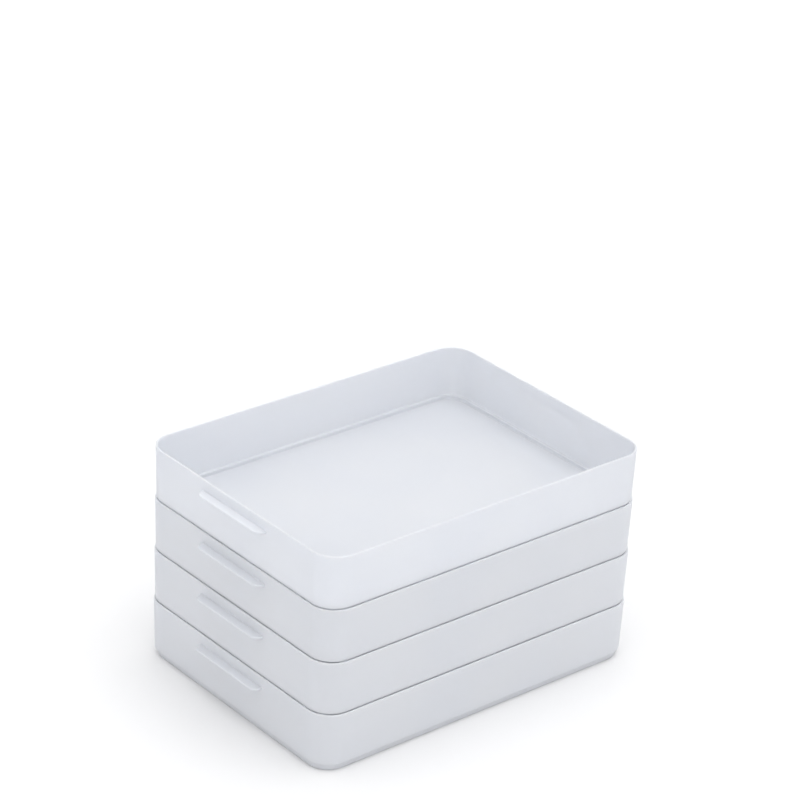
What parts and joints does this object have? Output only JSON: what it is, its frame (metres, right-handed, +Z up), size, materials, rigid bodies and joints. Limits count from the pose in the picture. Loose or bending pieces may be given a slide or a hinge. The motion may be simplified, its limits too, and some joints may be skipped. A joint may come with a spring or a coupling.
{
  "type": "letter tray",
  "caption": "Stack of open rectangular letter trays in frosted plastic, each with round corners, a stepped foot that seats in the rim below and a finger lip on each short wall.",
  "frame": {"origin": "centre of the footprint, on the plane that the bottom tray's foot stands on", "axes": "+X along the long side, through the finger lips; +Y along the short side; +Z up, the way the trays lift off"},
  "size_m": [0.3356, 0.236, 0.1884],
  "materials": {
    "bottom_tray_plastic": "frosted natural polypropylene, fine matte texture",
    "lower_middle_tray_plastic": "frosted natural polypropylene, fine matte texture",
    "upper_middle_tray_plastic": "frosted natural polypropylene, fine matte texture",
    "top_tray_plastic": "frosted natural polypropylene, fine matte texture"
  },
  "bodies": {
    "bottom_tray": {"bottom_tray": "bottom_tray_plastic"},
    "lower_middle_tray": {"lower_middle_tray": "lower_middle_tray_plastic"},
    "upper_middle_tray": {"upper_middle_tray": "upper_middle_tray_plastic"},
    "top_tray": {"top_tray": "top_tray_plastic"}
  },
  "joints": [
    {"name": "lower_middle_tray_lift", "type": "slide", "parent": "bottom_tray", "child": "lower_middle_tray", "axis": [0, 0, 1], "range_m": [0, 0.0932]},
    {"name": "upper_middle_tray_lift", "type": "slide", "parent": "lower_middle_tray", "child": "upper_middle_tray", "axis": [0, 0, 1], "range_m": [0, 0.0932]},
    {"name": "top_tray_lift", "type": "slide", "parent": "upper_middle_tray", "child": "top_tray", "axis": [0, 0, 1], "range_m": [0, 0.0932]}
  ]
}
